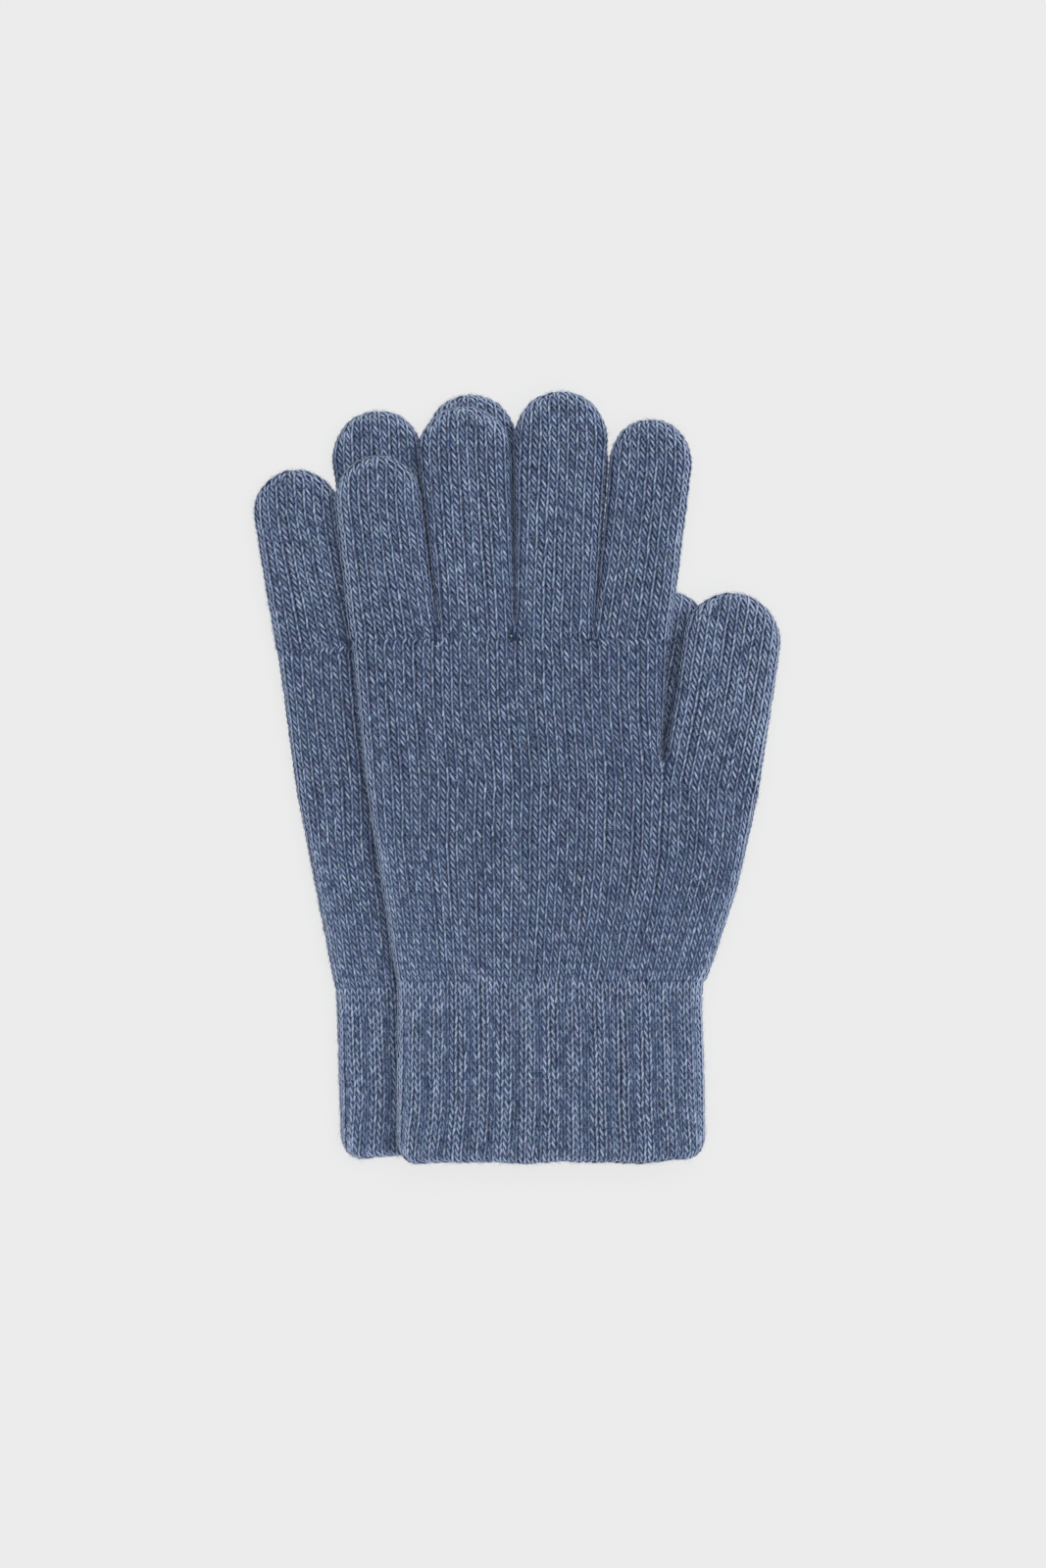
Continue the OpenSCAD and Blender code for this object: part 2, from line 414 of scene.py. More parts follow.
class Yarn:
    """Collects yarn tubes into one mesh."""

    def __init__(self):
        self.co, self.quads, self.uv, self.loop, self.count = [], [], [], [], 0
        self.tri, self.tri_uv = [], []

    def ring(self, line, normal, radius, seed, rise=1.0, edge=0.0, sides=SIDES):
        """A closed length of yarn along line, with radius at each of its points. rise, from 0 to 1, tells how
        far forward each point stands, which the wool colours lighter as painted highlight and darker further back
        as painted shade, and edge how far the knit is turned over there, which it colours lighter as painted rim
        highlight."""
        n = len(line)
        tangent = unit(np.roll(line, -1, 0) - np.roll(line, 1, 0))
        up = unit(normal - (normal * tangent).sum(1, keepdims=True) * tangent)
        side = np.cross(tangent, up)
        angle = 2 * math.pi * np.arange(sides) / sides + math.pi
        offset = np.cos(angle)[None, :, None] * up[:, None] + np.sin(angle)[None, :, None] * side[:, None]
        self.co.append((line[:, None] + radius[:, None, None] * offset).reshape(-1, 3))
        i = np.arange(n)[:, None]
        k = np.arange(sides)[None]
        i1, k1 = (i + 1) % n, (k + 1) % sides
        corners = np.stack([i * sides + k, i1 * sides + k, i1 * sides + k1, i * sides + k1], -1)
        self.quads.append(corners.reshape(-1, 4)[:, ::-1] + self.count)
        step = np.linalg.norm(np.roll(line, -1, 0) - line, axis=1)
        run = np.concatenate([[0], np.cumsum(step)]) + seed
        shape = (n, sides)
        u0, u1 = np.broadcast_to(run[:-1, None], shape), np.broadcast_to(run[1:, None], shape)
        v0, v1 = np.broadcast_to(k / sides, shape), np.broadcast_to((k + 1) / sides, shape)
        uv = np.stack([np.stack([u0, v0], -1), np.stack([u1, v0], -1),
                       np.stack([u1, v1], -1), np.stack([u0, v1], -1)], 2)
        self.uv.append(uv.reshape(-1, 4, 2)[:, ::-1])
        at = np.stack([np.broadcast_to(rise, n), np.broadcast_to(edge, n)], 1)
        now = np.broadcast_to(at[:, None], (n, sides, 2))
        then = np.broadcast_to(np.roll(at, -1, 0)[:, None], (n, sides, 2))
        self.loop.append(np.stack([now, then, then, now], 2).reshape(-1, 4, 2)[:, ::-1])
        self.count += n * sides

    def hairs(self, root, middle, tip, radius):
        """Loose fibres, each a thin three-sided spike that bends once."""
        n = len(root)
        sides = 3
        axis = unit(tip - root)
        helper = np.where(np.abs(axis[:, 2:]) < 0.8, [[0.0, 0.0, 1.0]], [[1.0, 0.0, 0.0]])
        a = unit(np.cross(axis, helper))
        b = np.cross(axis, a)
        angle = 2 * math.pi * np.arange(sides) / sides
        offset = np.cos(angle)[None, :, None] * a[:, None] + np.sin(angle)[None, :, None] * b[:, None]
        low = root[:, None] + radius[:, None, None] * offset
        mid = middle[:, None] + 0.75 * radius[:, None, None] * offset
        self.co.append(np.concatenate([low, mid, tip[:, None]], 1).reshape(-1, 3))
        base = np.arange(n)[:, None] * (2 * sides + 1) + self.count
        k = np.arange(sides)[None]
        k1 = (k + 1) % sides
        quads = np.stack([base + k, base + k1, base + sides + k1, base + sides + k], -1).reshape(-1, 4)
        seed = np.repeat(np.arange(n) * 7.3, sides)[:, None]
        self.quads.append(quads)
        self.uv.append(np.stack([seed + [0, 0, 1, 1], np.tile([0.45, 0.55, 0.55, 0.45], (n * sides, 1))], -1))
        self.loop.append(np.full((n * sides, 4, 2), HAIR_LIGHT))
        end = base + 2 * sides + 0 * k
        caps = np.stack([base + sides + k, base + sides + k1, end], -1).reshape(-1, 3)
        bottom = np.concatenate([base + 2, base + 1, base], 1)
        self.tri.append(np.concatenate([caps, bottom]))
        ends = len(caps) + n
        self.tri_uv.append(np.full((ends, 3, 2), 0.5) + np.arange(ends)[:, None, None] * [3.1, 0])
        self.count += n * (2 * sides + 1)

    def build(self, name, glove, material):
        """Makes the mesh object, in the row frame."""
        co = glove.world(np.concatenate(self.co))
        quads = np.concatenate(self.quads)
        tri = np.concatenate(self.tri) if self.tri else np.zeros((0, 3), int)
        uv = np.concatenate([np.concatenate(self.uv).reshape(-1, 2)]
                            + [t.reshape(-1, 2) for t in self.tri_uv])
        loop = np.concatenate([np.concatenate(self.loop).reshape(-1, 2), np.full((3 * len(tri), 2), HAIR_LIGHT)])
        return mesh_object(name, co, quads, tri, uv, loop, material)


def add(name, data):
    """A new object in the scene."""
    made = bpy.data.objects.new(name, data)
    bpy.context.scene.collection.objects.link(made)
    return made


def mesh_object(name, co, quads, tri, uv, loop, material):
    """A smooth mesh object with the two UV maps that wool reads, given corner by corner, quads first."""
    mesh = bpy.data.meshes.new(name)
    mesh.vertices.add(len(co))
    mesh.vertices.foreach_set("co", np.ascontiguousarray(co, np.float32).ravel())
    corners = np.concatenate([quads.ravel(), tri.ravel()]).astype(np.int32)
    mesh.loops.add(len(corners))
    mesh.loops.foreach_set("vertex_index", corners)
    sizes = np.concatenate([np.full(len(quads), 4), np.full(len(tri), 3)])
    mesh.polygons.add(len(sizes))
    mesh.polygons.foreach_set("loop_start", (np.cumsum(sizes) - sizes).astype(np.int32))
    mesh.polygons.foreach_set("use_smooth", np.ones(len(sizes), bool))
    mesh.update(calc_edges=True)
    for layer_name, values in (("yarn", uv), ("loop", loop)):
        layer = mesh.uv_layers.new(name=layer_name)
        layer.data.foreach_set("uv", np.ascontiguousarray(values, np.float32).ravel())
    mesh.materials.append(material)
    return add(name, mesh)


# one loop of plain knitting, as x and y in stitches and rows and z from 0, in front, to 1, behind
LOOP_A = 1.5          # how far a loop's head bulges over its neighbours
LOOP_REACH = 0.93     # how far a loop reaches above and below its own row, in rows
LEAN = 0.40           # how far the legs lean, because the yarn is spun one way
CUFF_LEAN = 0.22      # the same in the cuff
CUFF_STEPS = 10       # lengths of yarn in a stitch of the cuff

# how the wales of a tube run on from those of the tube below
PULL_LENGTH = 24.0    # length over which they run from there to their own places
PULL_LEVELS = 17      # levels at which that is worked out
FACING = 0.6          # how squarely a wale faces front or back to be matched
NUDGE = 0.004         # small step round the tube, to find which way x changes


def loops(count, steps, lean):
    """count stitches side by side: x in stitches, y in rows, z from 0 to 1, behind."""
    t = 2 * math.pi * np.arange(count * steps) / steps
    x = t + LOOP_A * np.sin(2 * t) - lean * 4.0 * np.cos(t) * np.sin(t) ** 2
    y = LOOP_REACH * np.cos(t)
    z = 0.5 + 0.5 * np.cos(2 * t)
    return t / (2 * math.pi), x / (2 * math.pi) + 0.5, y, z


def joined(values, at):
    """A value for each stitch, joined up smoothly round the row."""
    i = np.floor(at).astype(int)
    f = smooth(at - i)
    return values[i % len(values)] * (1 - f) + values[(i + 1) % len(values)] * f


def wobble(count, at):
    """Random numbers, joined up smoothly round the row."""
    return joined(rng.normal(size=count), at)


class Wales:
    """The needles of a tube: where each lies round it, and how far its column of stitches has drifted."""

    def __init__(self, shell, wales, phase=0.0, most=1.18):
        self.shell, self.wales, self.count, self.phase, self.most = shell, wales, 2 * wales, phase, most
        self.drift = rng.normal(0, 0.04, self.count)
        widths = np.array([RIB[i % 3] for i in range(self.count)])
        self.rib_edges = np.concatenate([[0], np.cumsum(widths)]) / widths.sum() * self.count
        self.pull = None

    def place(self, w, v, rib=0.0):
        """The place round the tube, from 0 to 2, of stitch coordinate w."""
        w = w % self.count
        w = w * (1 - rib) + np.interp(w, np.arange(self.count + 1), self.rib_edges) * rib
        face = np.minimum(np.floor(w / self.wales), 1)
        xi = 2 * (w - face * self.wales) / self.wales - 1
        girth = np.interp(v, self.shell.v, self.shell.girth)
        m = np.clip(WALE * self.wales / girth, 0.9, self.most)
        place = face + (m * xi - (m - 1) * xi ** 5 + 1) / 2
        if self.pull is not None:
            place = place + self.pulled(w, v)
        return place

    def pulled(self, w, v):
        """How far the wale at w is pulled from its own place at level v."""
        start, table = self.pull
        high = np.clip((v - start) / PULL_LENGTH, 0, 1) * (len(table) - 1)
        low = np.minimum(np.floor(high).astype(int), len(table) - 2)
        wale = (w - 0.5 - self.phase) % self.count
        i = np.floor(wale).astype(int)
        a, b = i % self.count, (i + 1) % self.count
        below, above = (table[k, a] * (1 - wale + i) + table[k, b] * (wale - i) for k in (low, low + 1))
        return below * (1 - high + low) + above * (high - low)

    def columns(self, v):
        """Each wale at level v: its x, which way it faces and how fast x changes round the tube."""
        w = (np.arange(self.count) + 0.5 + self.phase) % self.count
        level = np.full(self.count, float(v))
        p = self.place(w, level)
        point, normal = self.shell.sample(level, p)
        beside, _ = self.shell.sample(level, p + NUDGE)
        return point[:, 0], normal[:, 2], (beside[:, 0] - point[:, 0]) / NUDGE

    def follow(self, under, level, start):
        """Lets every wale start on a wale of the tube below it, and run straight from there to its own place."""
        share = np.linspace(0, 1, PULL_LEVELS)
        own = [self.columns(start + PULL_LENGTH * t) for t in share]
        x, facing, _ = own[0]
        x_below, facing_below, _ = under.columns(level)
        first = np.full(self.count, np.nan)
        for side in (1, -1):
            mine = np.flatnonzero(facing * side > FACING)
            below = np.sort(x_below[facing_below * side > FACING])
            mine = mine[np.argsort(x[mine])]
            # the most that a wale may be pulled, which is less near the tube's rims
            limit = WALE * (0.3 + 1.7 * (1 - np.linspace(-1, 1, len(mine)) ** 2))
            best = np.inf
            for shift in range(-len(mine), len(below)):
                i = np.arange(len(mine)) + shift
                known = (i >= 0) & (i < len(below))
                i, held, most = i[known], mine[known], limit[known]
                off = np.abs(below[i] - x[held]).mean() if len(i) >= 0.7 * len(mine) else np.inf
                if off < best:
                    best = off
                    first[mine] = np.nan
                    first[held] = x[held] + np.clip(below[i] - x[held], -most, most)
        held = np.flatnonzero(~np.isnan(first))
        if len(held) < 4:
            return
        table = []
        for t, (x_here, _, slope) in zip(share, own):
            steep = np.sign(slope) * np.maximum(np.abs(slope), 0.4 * np.abs(slope).max())
            by = (first * (1 - t) + own[-1][0] * t - x_here) / steep
            table.append(np.interp(np.arange(self.count), held, by[held], period=self.count))
        self.pull = (start, np.array(table))

    def at_x(self, v, x):
        """The stitch coordinate on the front where the tube's own x is x."""
        w = np.linspace(0.5, self.wales - 0.5, 400)
        point, _ = self.shell.sample(np.full(400, float(v)), self.place(w, np.full(400, float(v))))
        return float(np.interp(x, point[:, 0], w))


def knit_row(yarn, needles, v0, course, rib=0.0, steps=STEPS, v_max=None, rim_highlight_share=(1.0, 1.0), lean=LEAN, nap=0.0):
    """One row of knitting round a tube, course high. rib, from 0 to 1, is how far every third wale has sunk. free,
    from 0 to 1, tells how much of the painted rim highlight the left and the right edge get, less where a
    neighbouring tube stands beside them, so that the valley between them stays darker, and nap how much lighter
    the whole row is coloured."""
    shell, count = needles.shell, needles.count
    at, w, y, z = loops(count, steps, lean)
    needles.drift = 0.9 * needles.drift + rng.normal(0, 0.02, count)
    w = w + needles.phase + joined(needles.drift, at) + 0.03 * wobble(count, at)
    v = v0 + course * y * (1 + 0.06 * wobble(count, at)) + 0.11 * wobble(count, at)
    v = np.clip(v, shell.v[0], v_max or shell.v[-1])
    near = 0.5 + 0.5 * np.cos(2 * math.pi * ((w % 3) - 2.5) / 3)
    sinking = rib * near ** 2.5
    point, normal = shell.sample(v, needles.place(w, v, rib))
    size = YARN_R * (1 + 0.08 * wobble(count, at))
    raised = 0.1 * np.sin(2 * math.pi * at)
    inward = size + 2 * DEPTH * z + RIB_DEPTH * sinking - raised + 0.06 * wobble(count, at)
    line = point - normal * inward[:, None]
    # painted rim highlight: lighter where the knit turns over an edge, on each side by its share
    edge = np.sqrt(np.clip(1 - np.abs(normal[:, 2]), 0, 1)) * np.where(normal[:, 0] < 0, rim_highlight_share[0], rim_highlight_share[1])
    # painted shade: the parts of a loop that lie back, and the sunk wales, get less of the painted highlight
    rise = (1 - z) * (1 - RIB_SHADE * sinking)
    yarn.ring(line, normal, size, rng.uniform(0, 9000), rise=rise, edge=edge + nap)


def fuzz(yarn, shell, v_low, v_high, density=HAIRS_PER_CM2):
    """Loose fibres that stand out of the knit."""
    inside = (shell.v >= v_low) & (shell.v <= v_high)
    if inside.sum() < 2:
        return
    area = 2 * shell.girth[inside].mean() * (v_high - v_low) / 100

    def scattered(n):
        """Random places on the surface, each with its normal and a direction along the surface."""
        point, normal = shell.sample(rng.uniform(v_low, v_high, n), rng.uniform(0, 2, n))
        aside = rng.normal(size=(n, 3))
        aside -= (aside * normal).sum(1, keepdims=True) * normal
        return point, normal, unit(aside)

    # fibres that lie along the knit
    n = int(area * NAP_PER_CM2)
    point, normal, aside = scattered(n)
    root = point - normal * rng.uniform(0.15, 0.55, n)[:, None]
    length = rng.uniform(1.2, 3.0, n)[:, None]
    bow = np.cross(normal, aside) * rng.normal(0, 0.22, n)[:, None]
    middle = root + length * (0.5 * aside + bow) + normal * rng.uniform(0.2, 0.6, n)[:, None]
    tip = root + length * aside + normal * rng.uniform(0.0, 0.6, n)[:, None]
    yarn.hairs(root, middle, tip, rng.uniform(0.025, 0.045, n))

    # shorter fibres that stand up
    n = int(area * density)
    point, normal, aside = scattered(n)
    length = rng.uniform(0.5, 1.5, n)[:, None] * rng.choice([1.0, 1.0, 1.0, 2.0], n)[:, None]
    rise = rng.uniform(0.2, 0.9, n)[:, None]
    root = point - normal * rng.uniform(0.2, 0.7, n)[:, None]
    middle = root + 0.5 * length * (aside * 0.8 + normal * rise * 1.5)
    tip = middle + 0.5 * length * (aside * 1.0 + normal * rise * 0.4)
    yarn.hairs(root, middle, tip, rng.uniform(0.016, 0.036, n))


# ------------ the ground between the loops, coloured as painted shade
GROUND_DEPTHS = (1.2, 1.5)           # depths of its two faces below the surface, in the heel
PALM_DEEPER, TUBE_DEEPER = 0.06, 0.12    # how much deeper they lie elsewhere, so that no two faces coincide
CUFF_DEPTHS = (1.6, 1.75)
GROUND_ROUND = 96                    # points round it
GROUND_STEP = 1.6                    # distance between its levels


def ground(name, glove, shell, v_low, v_high, closed_tip=False, deeper=0.0, depths=GROUND_DEPTHS):
    """A thin wall, closed all over, that closes the gaps between the loops; its dark colour is painted shade."""
    levels = np.linspace(v_low, v_high, max(4, int((v_high - v_low) / GROUND_STEP)))
    p = np.linspace(0, 2, GROUND_ROUND, endpoint=False)
    sampled = [shell.sample(np.full(len(p), v), p) for v in levels]
    n, m = len(levels), len(p)
    front, back = [np.array([point - normal * (depth + deeper) for point, normal in sampled]) for depth in depths]
    co = np.concatenate([front.reshape(-1, 3), back.reshape(-1, 3)])
    i, k = np.meshgrid(np.arange(n - 1), np.arange(m), indexing="ij")
    k1 = (k + 1) % m
    face = np.stack([i * m + k, i * m + k1, (i + 1) * m + k1, (i + 1) * m + k], -1).reshape(-1, 4)
    k = np.arange(m)
    k1 = (k + 1) % m
    top, behind = (n - 1) * m, n * m
    quads = [face, face[:, ::-1] + behind, np.stack([k1, k, k + behind, k1 + behind], -1)]
    tri = np.zeros((0, 3), int)
    if closed_tip:
        co = np.concatenate([co, [front[-1].mean(0), back[-1].mean(0)]])
        tri = np.concatenate([np.stack([top + k, top + k1, np.full(m, 2 * behind)], -1),
                              np.stack([top + k1 + behind, top + k + behind, np.full(m, 2 * behind + 1)], -1)])
    else:
        quads.append(np.stack([top + k, top + k1, top + k1 + behind, top + k + behind], -1))
    quads = np.concatenate(quads)
    uv = np.concatenate([co[quads.ravel()][:, :2], co[tri.ravel()][:, :2]]) * [3.0, 0.5]
    return mesh_object(name, glove.world(co), quads, tri, uv, np.zeros_like(uv), PAINTED_SHADE_GROUND)


# ------------ tubes of the glove
TIP_STOP = 0.8        # how far before the end of a closed tube its stitches and its changing normals stop
CLOSING = 0.55        # height of the gathered end of a closed tube, in rows
NARROWING = 22.0      # length before the end in which stitches may be taken off
LIGHTENING_LENGTH = 22.0    # length from the root over which the rows grow lighter
# how much lighter the rows of a finger and of the thumb are coloured, away from the root
FINGER_NAP, THUMB_NAP = 0.1, 0.2


def finger_shell(glove, outline, half, webs, tip_out, to_glove=None):
    """The surface of a closed tube: straight levels at first, then over the rounded tip. webs tells whether its
    left and its right side grow out of the hand beside another tube, where the valley only opens little by
    little. to_glove, which only the thumb has, takes its own points to the glove's."""
    outline = grown(outline, PLUMP, webs, tip_out)
    y_low, y_end = outline[:, 1].min(), outline[:, 1].max()
    a, b = outline, np.roll(outline, -1, 0)
    walls = [(p, q) for p, q in zip(a, b) if max(p[1], q[1]) > y_low + 0.3]
    phi = np.linspace(0, math.pi / 2, 200)
    arc = np.concatenate([[0], np.cumsum(np.hypot(np.diff(RIM * np.sin(phi)), np.diff(half * np.cos(phi))))])
    start = y_end - RIM
    v_end = start + arc[-1]

    def y_at(v):
        return v if v <= start else start + RIM * math.sin(np.interp(v - start, arc, phi))

    # the side walls run on below the root, so that the first row has something to hang on
    left, right = sides_at(outline, [y_low - 6.0, y_low + 1.0])
    walls += [(np.array([x[0], y_low - 6.0]), np.array([x[1], y_low + 1.0])) for x in (left, right)]

    def section(v):
        y = y_at(v)
        (x0,), (x1,) = sides_at(outline, y)
        closed = RIM * (1 - smooth((y - y_low - (0.0 if to_glove is None else CROTCH)) / WEB))
        if to_glove is not None:
            x0 -= 0.2 * closed

        def height(x, yy):
            t = (x - x0) / (x1 - x0)
            near = webs[0] * smooth(1 - 2.2 * t) + webs[1] * smooth(1 - 2.2 * (1 - t))
            return rounded(distance(x, yy, walls) + closed * near, half)

        front, back = cross_curve(x0, x1, height, y=y)
        if to_glove is not None:
            front, back = to_glove(front), to_glove(back)
        return front, back

    over_tip = np.linspace(start - 1.0, v_end - 0.1, 26)
    shell = Shell(np.concatenate([np.arange(y_low - 4.0, start - 1.0, 1.0), over_tip]), section)
    last = int(np.searchsorted(shell.v, v_end - TIP_STOP))
    shell.normals[last:] = shell.normals[last - 1]
    return shell, y_low - 0.2, v_end


def knit_closed_tube(name, glove, outline, wales, webs, base, to_glove=None):
    """A finger or thumb: rows from the root to the tip, with fewer stitches towards the tip. Its wales go on from
    those of the hand, where base is the hand's needles and the level at which the tube starts."""
    hand, part = f"{glove.prefix}_hand", f"{glove.prefix}_{name}"
    tip_out = TIP_OUT.get(part, USUAL_TIP_OUT)
    shell, v_root, v_end = finger_shell(glove, outline, glove.half, webs, tip_out, to_glove)
    yarn = Yarn()
    rows = int(round((v_end - v_root) / COURSE - CLOSING))
    pitch = (v_end - v_root) / (rows + CLOSING)
    needles = Wales(shell, wales)
    under, level = base
    across = shell.sample(np.full(5, v_root), np.linspace(0.25, 0.75, 5))[0][:, 0]
    apart = np.array([needles.at_x(v_root, x) - under.at_x(level, x) + under.phase for x in across])
    needles.phase = float(np.angle(np.exp(2j * math.pi * apart).mean()) / (2 * math.pi)) % 1.0
    needles.follow(under, level, v_root)
    fewer = 0
    for k in range(rows):
        v = v_root + (k + 0.5) * pitch
        girth = np.interp(v, shell.v, shell.girth)
        if v > v_end - NARROWING and girth < WALE * 0.9 * wales:
            wanted = min(max(0, round((wales - girth / (WALE * 0.98)) / 2)), (wales - 3) // 2)
            if wanted > fewer:
                fewer = wanted
                needles = Wales(shell, wales - 2 * fewer, needles.phase)
        tip = smooth((v - v_end + 17.0) / 9.0)
        # painted rim highlight: on a side beside another tube only towards the tip, so the valley stays darker
        rim_highlight_share = [float(1 - web * (1 - tip)) for web in webs]
        # the rows are coloured lighter, more so away from the root
        row_lightening = (FINGER_NAP if to_glove is None else THUMB_NAP) * float(smooth((v - v_root) / LIGHTENING_LENGTH))
        knit_row(yarn, needles, v, pitch, v_max=v_end - TIP_STOP, rim_highlight_share=rim_highlight_share, nap=row_lightening)
    fuzz(yarn, shell, v_root, v_end - 1.0)
    knit = yarn.build(f"{part}_knit", glove, YARN)
    mat = ground(f"{part}_ground", glove, shell, v_root - 2.5, v_end - 0.6, closed_tip=True, deeper=TUBE_DEEPER)
    hinge = joint(f"{part}_bend")
    axis = Vector(hinge["axis"]).normalized()
    ahead = Vector((0, 0, 1)).cross(axis)
    if ahead.dot(Vector((glove.ey[0], glove.ey[1], 0))) < 0:
        ahead = -ahead
    at = Vector(hinge["pos_m"])
    for piece in (knit, mat):
        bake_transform(piece)
    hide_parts(part)


WAIST = 0.8          # how far the knit is drawn in just below the hand, on the thumb's side


def waist(v):
    """How far the knit is drawn in, v below the line between hand and cuff."""
    return WAIST * math.exp(-((v - 7.0) / 15.0) ** 2) * float(smooth((v + 6.0) / 9.0))


class Hand:
    """The hand's two stretches of tube: the heel, from the cuff to the thumb's root, and the palm above it."""

    def __init__(self, glove):
        self.glove = glove
        self.outline = glove.outline("hand")
        thumb = joint(f"{glove.prefix}_thumb_bend")
        axis = np.array(thumb["axis"][:2], float)
        axis = np.array([axis @ glove.ex, axis @ glove.ey])
        self.thumb_x = axis / np.linalg.norm(axis) * np.sign(axis[0])
        self.thumb_y = np.array([-self.thumb_x[1], self.thumb_x[0]])
        self.thumb_at = glove.local([thumb["pos_m"]])[0]
        flat = glove.outline("thumb") - self.thumb_at
        self.thumb_outline = np.stack([flat @ self.thumb_x, flat @ self.thumb_y], 1)
        (left,), (right,) = sides_at(self.thumb_outline, 1.0)
        self.crotch = self.thumb_at + left * self.thumb_x
        self.corner = self.thumb_at + right * self.thumb_x
        self.top = self.outline[:, 1].max() + 0.2
        near_top = self.outline[self.outline[:, 1] > self.top - 0.7]
        self.knuckle = np.array([near_top[:, 0].max(), self.top])

    def edge(self, left):
        """The wall segments of the outline's left or right side."""
        a, b = self.outline, np.roll(self.outline, -1, 0)
        middle = 0.5 * (a[:, 0] + b[:, 0])
        steep = np.abs(b[:, 1] - a[:, 1]) > np.abs(b[:, 0] - a[:, 0])
        pick = steep & ((middle < 0) == left)
        return [(p, q) for p, q, ok in zip(a, b, pick) if ok]

    def dimple(self, x, y, centres, size):
        """Presses the surface in where tubes part."""
        cut = np.ones_like(x)
        for c in centres:
            cut -= 0.55 * np.exp(-(((x - c[0]) / size) ** 2 + ((y - c[1]) / (1.3 * size)) ** 2))
        return cut

    def heel_shell(self):
        """The heel's surface. Its levels slope down to the right, to meet the thumb's root."""
        top = self.crotch[1]
        below_thumb = self.corner[1] + 1.5
        walls = self.edge(True) + [w for w in self.edge(False) if max(w[0][1], w[1][1]) < below_thumb]
        half = self.glove.half

        def section(v):
            share = v / top
            (x0,), _ = sides_at(self.outline, v)
            y_right = self.corner[1] * share
            _, (x1,) = sides_at(self.outline, y_right)
            x0, x1 = x0 + 0.3 * waist(-v), x1 - waist(-y_right)
            bend = self.crotch[0] * np.clip(share, 0, 1)

            def y_of(x):
                return v - (v - y_right) * np.clip((x - bend) / (x1 - bend), 0, 1)

            def height(x, y):
                d = np.minimum(x - x0, x1 - x)
                d = np.minimum(d, distance(x, y, walls) + 0.4)
                return rounded(np.maximum(d, 0), half) * self.dimple(x, y, [self.crotch + [0, 3.0]], 2.0)

            return cross_curve(x0, x1, height, y_of=y_of)

        return Shell(np.arange(-4.0, top + 3.1, 1.0), section)

    def palm_shell(self, gaps):
        """The palm's surface, pressed in at the gaps between the fingers."""
        right = [(np.array([self.crotch[0] - 0.4, self.crotch[1] - 8.0]), self.knuckle + [0, 6.0])]
        slope = (self.knuckle[0] - self.crotch[0] + 0.4) / (self.knuckle[1] - self.crotch[1])
        walls = self.edge(True) + right
        half = self.glove.half

        def section(v):
            (x0,), _ = sides_at(self.outline, min(v, self.top - 0.3))
            closed = RIM * (1 - smooth((v - self.crotch[1] - CROTCH) / WEB))
            x1 = self.crotch[0] - 0.4 + slope * (v - self.crotch[1]) + 0.2 * closed

            def height(x, y):
                web = closed * smooth((x - x1 + 14.0) / 6.0)
                d = np.minimum(np.minimum(x - x0, x1 - x + web), distance(x, y, walls) + 0.4 + web)
                return rounded(np.maximum(d, 0), half) * self.dimple(x, y, gaps, 1.5)

            return cross_curve(x0, x1, height, y=v)

        return Shell(np.arange(self.crotch[1] - 6.0, self.top + 3.1, 1.0), section)


def knit_hand(glove):
    """The hand's heel and palm."""
    hand = Hand(glove)
    body = f"{glove.prefix}_hand"
    outlines = [glove.outline(part) for part in FINGERS]
    gaps = []
    for left, right in zip(outlines, outlines[1:]):
        gap = (sides_at(left, hand.top + 1)[1][0] + sides_at(right, hand.top + 1)[0][0]) / 2
        gaps.append(np.array([gap, hand.top + 1.0]))

    heel = hand.heel_shell()
    palm = hand.palm_shell(gaps)
    rows = int(round(hand.crotch[1] / COURSE))
    pitch = hand.crotch[1] / rows
    made = []

    def knit_band(part, needles, start, first, last, rim_highlight_share):
        yarn = Yarn()
        for k in range(first, last):
            knit_row(yarn, needles, start + (k + 0.5) * pitch, pitch, rim_highlight_share=rim_highlight_share)
        fuzz(yarn, needles.shell, start + first * pitch, start + last * pitch)
        made.append(yarn.build(f"{body}_{part}_knit", glove, YARN))

    needles = hand.needles = Wales(heel, HEEL_WALES, most=FULL)
    hand.level = hand.crotch[1] - 0.5
    third = rows // 3
    for part, first, last in (("heel", 0, third), ("ball", third, 2 * third), ("thumb_base", 2 * third, rows)):
        knit_band(part, needles, 0.0, first, last, (1.0, 1.0))
    rows = int(round((hand.top - hand.crotch[1]) / COURSE))
    pitch = (hand.top - hand.crotch[1]) / rows
    above = hand.palm_needles = Wales(palm, PALM_WALES)
    x = palm.sample(np.array([hand.crotch[1]]), np.array([0.4]))[0][0, 0]
    above.phase = (above.at_x(hand.crotch[1], x) - needles.at_x(hand.level, x)) % 1.0
    above.follow(needles, hand.level, hand.crotch[1])
    for part, first, last in (("palm", 0, rows // 2), ("knuckle", rows // 2, rows)):
        # the palm's side by the thumb gets no painted rim highlight
        knit_band(part, above, hand.crotch[1], first, last, (1.0, 0.0))
    made.append(ground(f"{body}_heel_ground", glove, heel, -1.0, hand.crotch[1] + 1.0))
    made.append(ground(f"{body}_palm_ground", glove, palm, hand.crotch[1] - 1.0, hand.top + 1.0,
                       deeper=PALM_DEEPER))
    for piece in made:
        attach(piece, body)
    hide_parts(body)
    return hand


def knit_thumb(glove, hand):
    """The thumb, knitted in a frame of its own that leans away from the fingers."""
    def to_glove(points):
        flat = hand.thumb_at + points[:, :1] * hand.thumb_x + points[:, 1:2] * hand.thumb_y
        return np.concatenate([flat, points[:, 2:]], 1)

    knit_closed_tube("thumb", glove, hand.thumb_outline, THUMB_WALES, (1.0, 0.0), (hand.needles, hand.level),
                     to_glove)


LIP = 1.6             # radius of the turn at the mouth
CORNER = 6.5          # size of the mouth's rounded corners
MOUTH_ZONE = 26.0     # length above the mouth over which its edge's waves fade out
ELASTIC_DEPTH, ELASTIC_R = 2.1, 0.3


